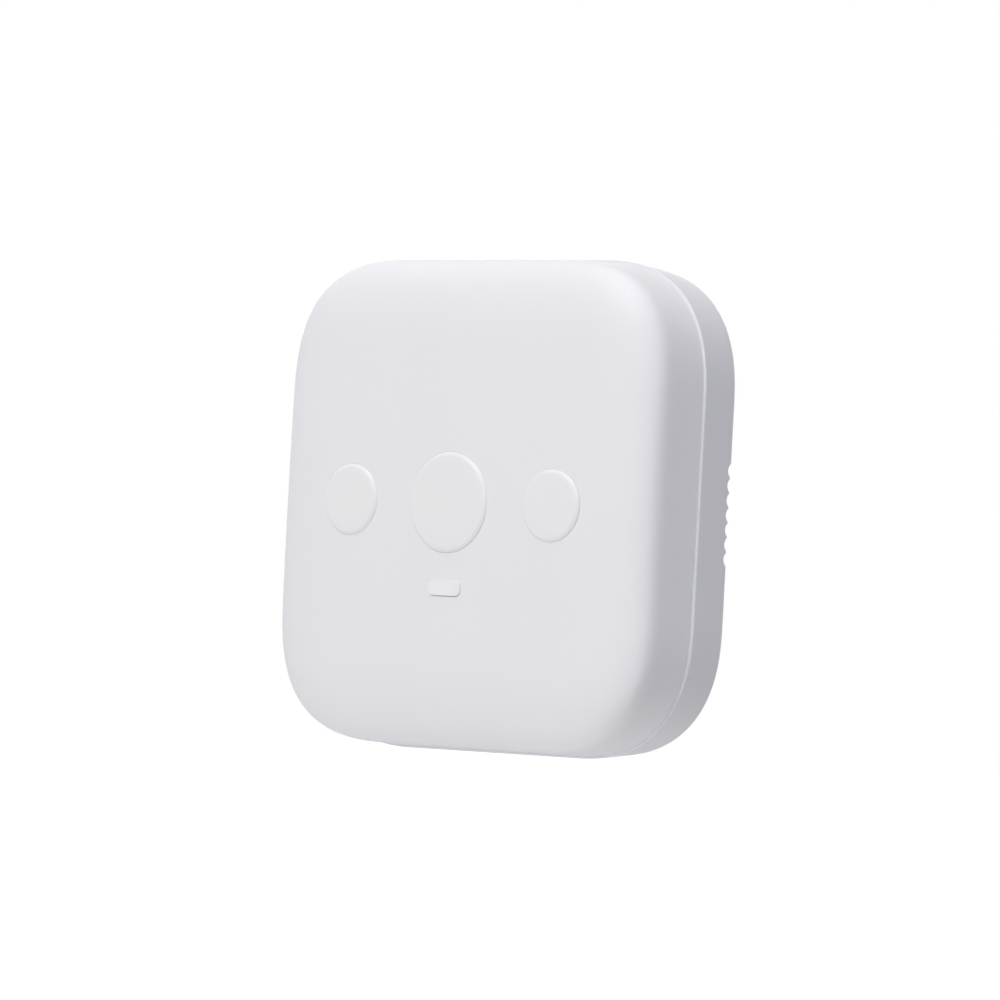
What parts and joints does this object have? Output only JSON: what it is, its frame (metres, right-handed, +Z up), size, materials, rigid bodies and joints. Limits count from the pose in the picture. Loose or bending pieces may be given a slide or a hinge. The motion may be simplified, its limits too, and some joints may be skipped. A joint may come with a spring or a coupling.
{
  "type": "smart ir remote",
  "caption": "Slim rounded-square infrared remote with round push buttons, a small indicator window and a sliding battery door at the rear.",
  "frame": {"origin": "centre of the flat rear face", "axes": "+X to the right seen from the front, +Y out of the rear face, +Z up"},
  "size_m": [0.08, 0.0256, 0.08],
  "materials": {
    "shell_plastic": "fine matte moulded, soft white",
    "button_plastic": "smooth matte, neutral white",
    "window_plastic": "milky translucent, smooth",
    "board_laminate": "green solder resist on glass laminate",
    "led_package": "pale resin",
    "emitter_resin": "dark tinted clear resin",
    "chip_black": "moulded epoxy",
    "chip_ceramic": "fired, fine grained",
    "switch_black": "moulded",
    "cell_jacket": "shrink film over steel can",
    "plated_steel": "nickel plated",
    "can_aluminium": "drawn can",
    "screw_steel": "zinc plated"
  },
  "bodies": {
    "case": {"battery_cell_1": "cell_jacket", "battery_cell_2": "cell_jacket", "battery_cell_3": "cell_jacket", "board_screws": "screw_steel", "bridge_plate_left": "plated_steel", "bridge_plate_right": "plated_steel", "chip_parts": "chip_ceramic", "circuit_board": "board_laminate", "contact_spring_1": "plated_steel", "contact_spring_2": "plated_steel", "contact_spring_3": "plated_steel", "crystal": "plated_steel", "emitter_drivers": "chip_black", "front_cover": "shell_plastic", "housing_screws": "screw_steel", "indicator_light_pipe": "window_plastic", "ir_emitter_front": "emitter_resin", "ir_emitter_left": "emitter_resin", "ir_emitter_right": "emitter_resin", "ir_receiver": "chip_black", "memory_chip": "chip_black", "microcontroller": "chip_black", "radio_module": "board_laminate", "radio_shield": "plated_steel", "rear_housing": "shell_plastic", "reservoir_capacitor": "can_aluminium", "status_led": "led_package", "switch_body_centre": "switch_black", "switch_body_left": "switch_black", "switch_body_right": "switch_black", "terminal_negative": "plated_steel", "terminal_positive": "plated_steel"},
    "battery_door": {"battery_door": "shell_plastic"},
    "button_left": {"button_left": "button_plastic", "switch_plunger_left": "switch_black"},
    "button_centre": {"button_centre": "button_plastic", "switch_plunger_centre": "switch_black"},
    "button_right": {"button_right": "button_plastic", "switch_plunger_right": "switch_black"}
  },
  "joints": [
    {"name": "button_left_press", "type": "slide", "parent": "case", "child": "button_left", "axis": [0, 1, 0], "range_m": [0, 0.0005], "stiffness_N_per_m": 1500, "springref_m": -0.0002},
    {"name": "button_centre_press", "type": "slide", "parent": "case", "child": "button_centre", "axis": [0, 1, 0], "range_m": [0, 0.0005], "stiffness_N_per_m": 1500, "springref_m": -0.0002},
    {"name": "button_right_press", "type": "slide", "parent": "case", "child": "button_right", "axis": [0, 1, 0], "range_m": [0, 0.0005], "stiffness_N_per_m": 1500, "springref_m": -0.0002},
    {"name": "battery_door_slide", "type": "slide", "parent": "case", "child": "battery_door", "axis": [0, 0, -1], "range_m": [0, 0.045]}
  ]
}
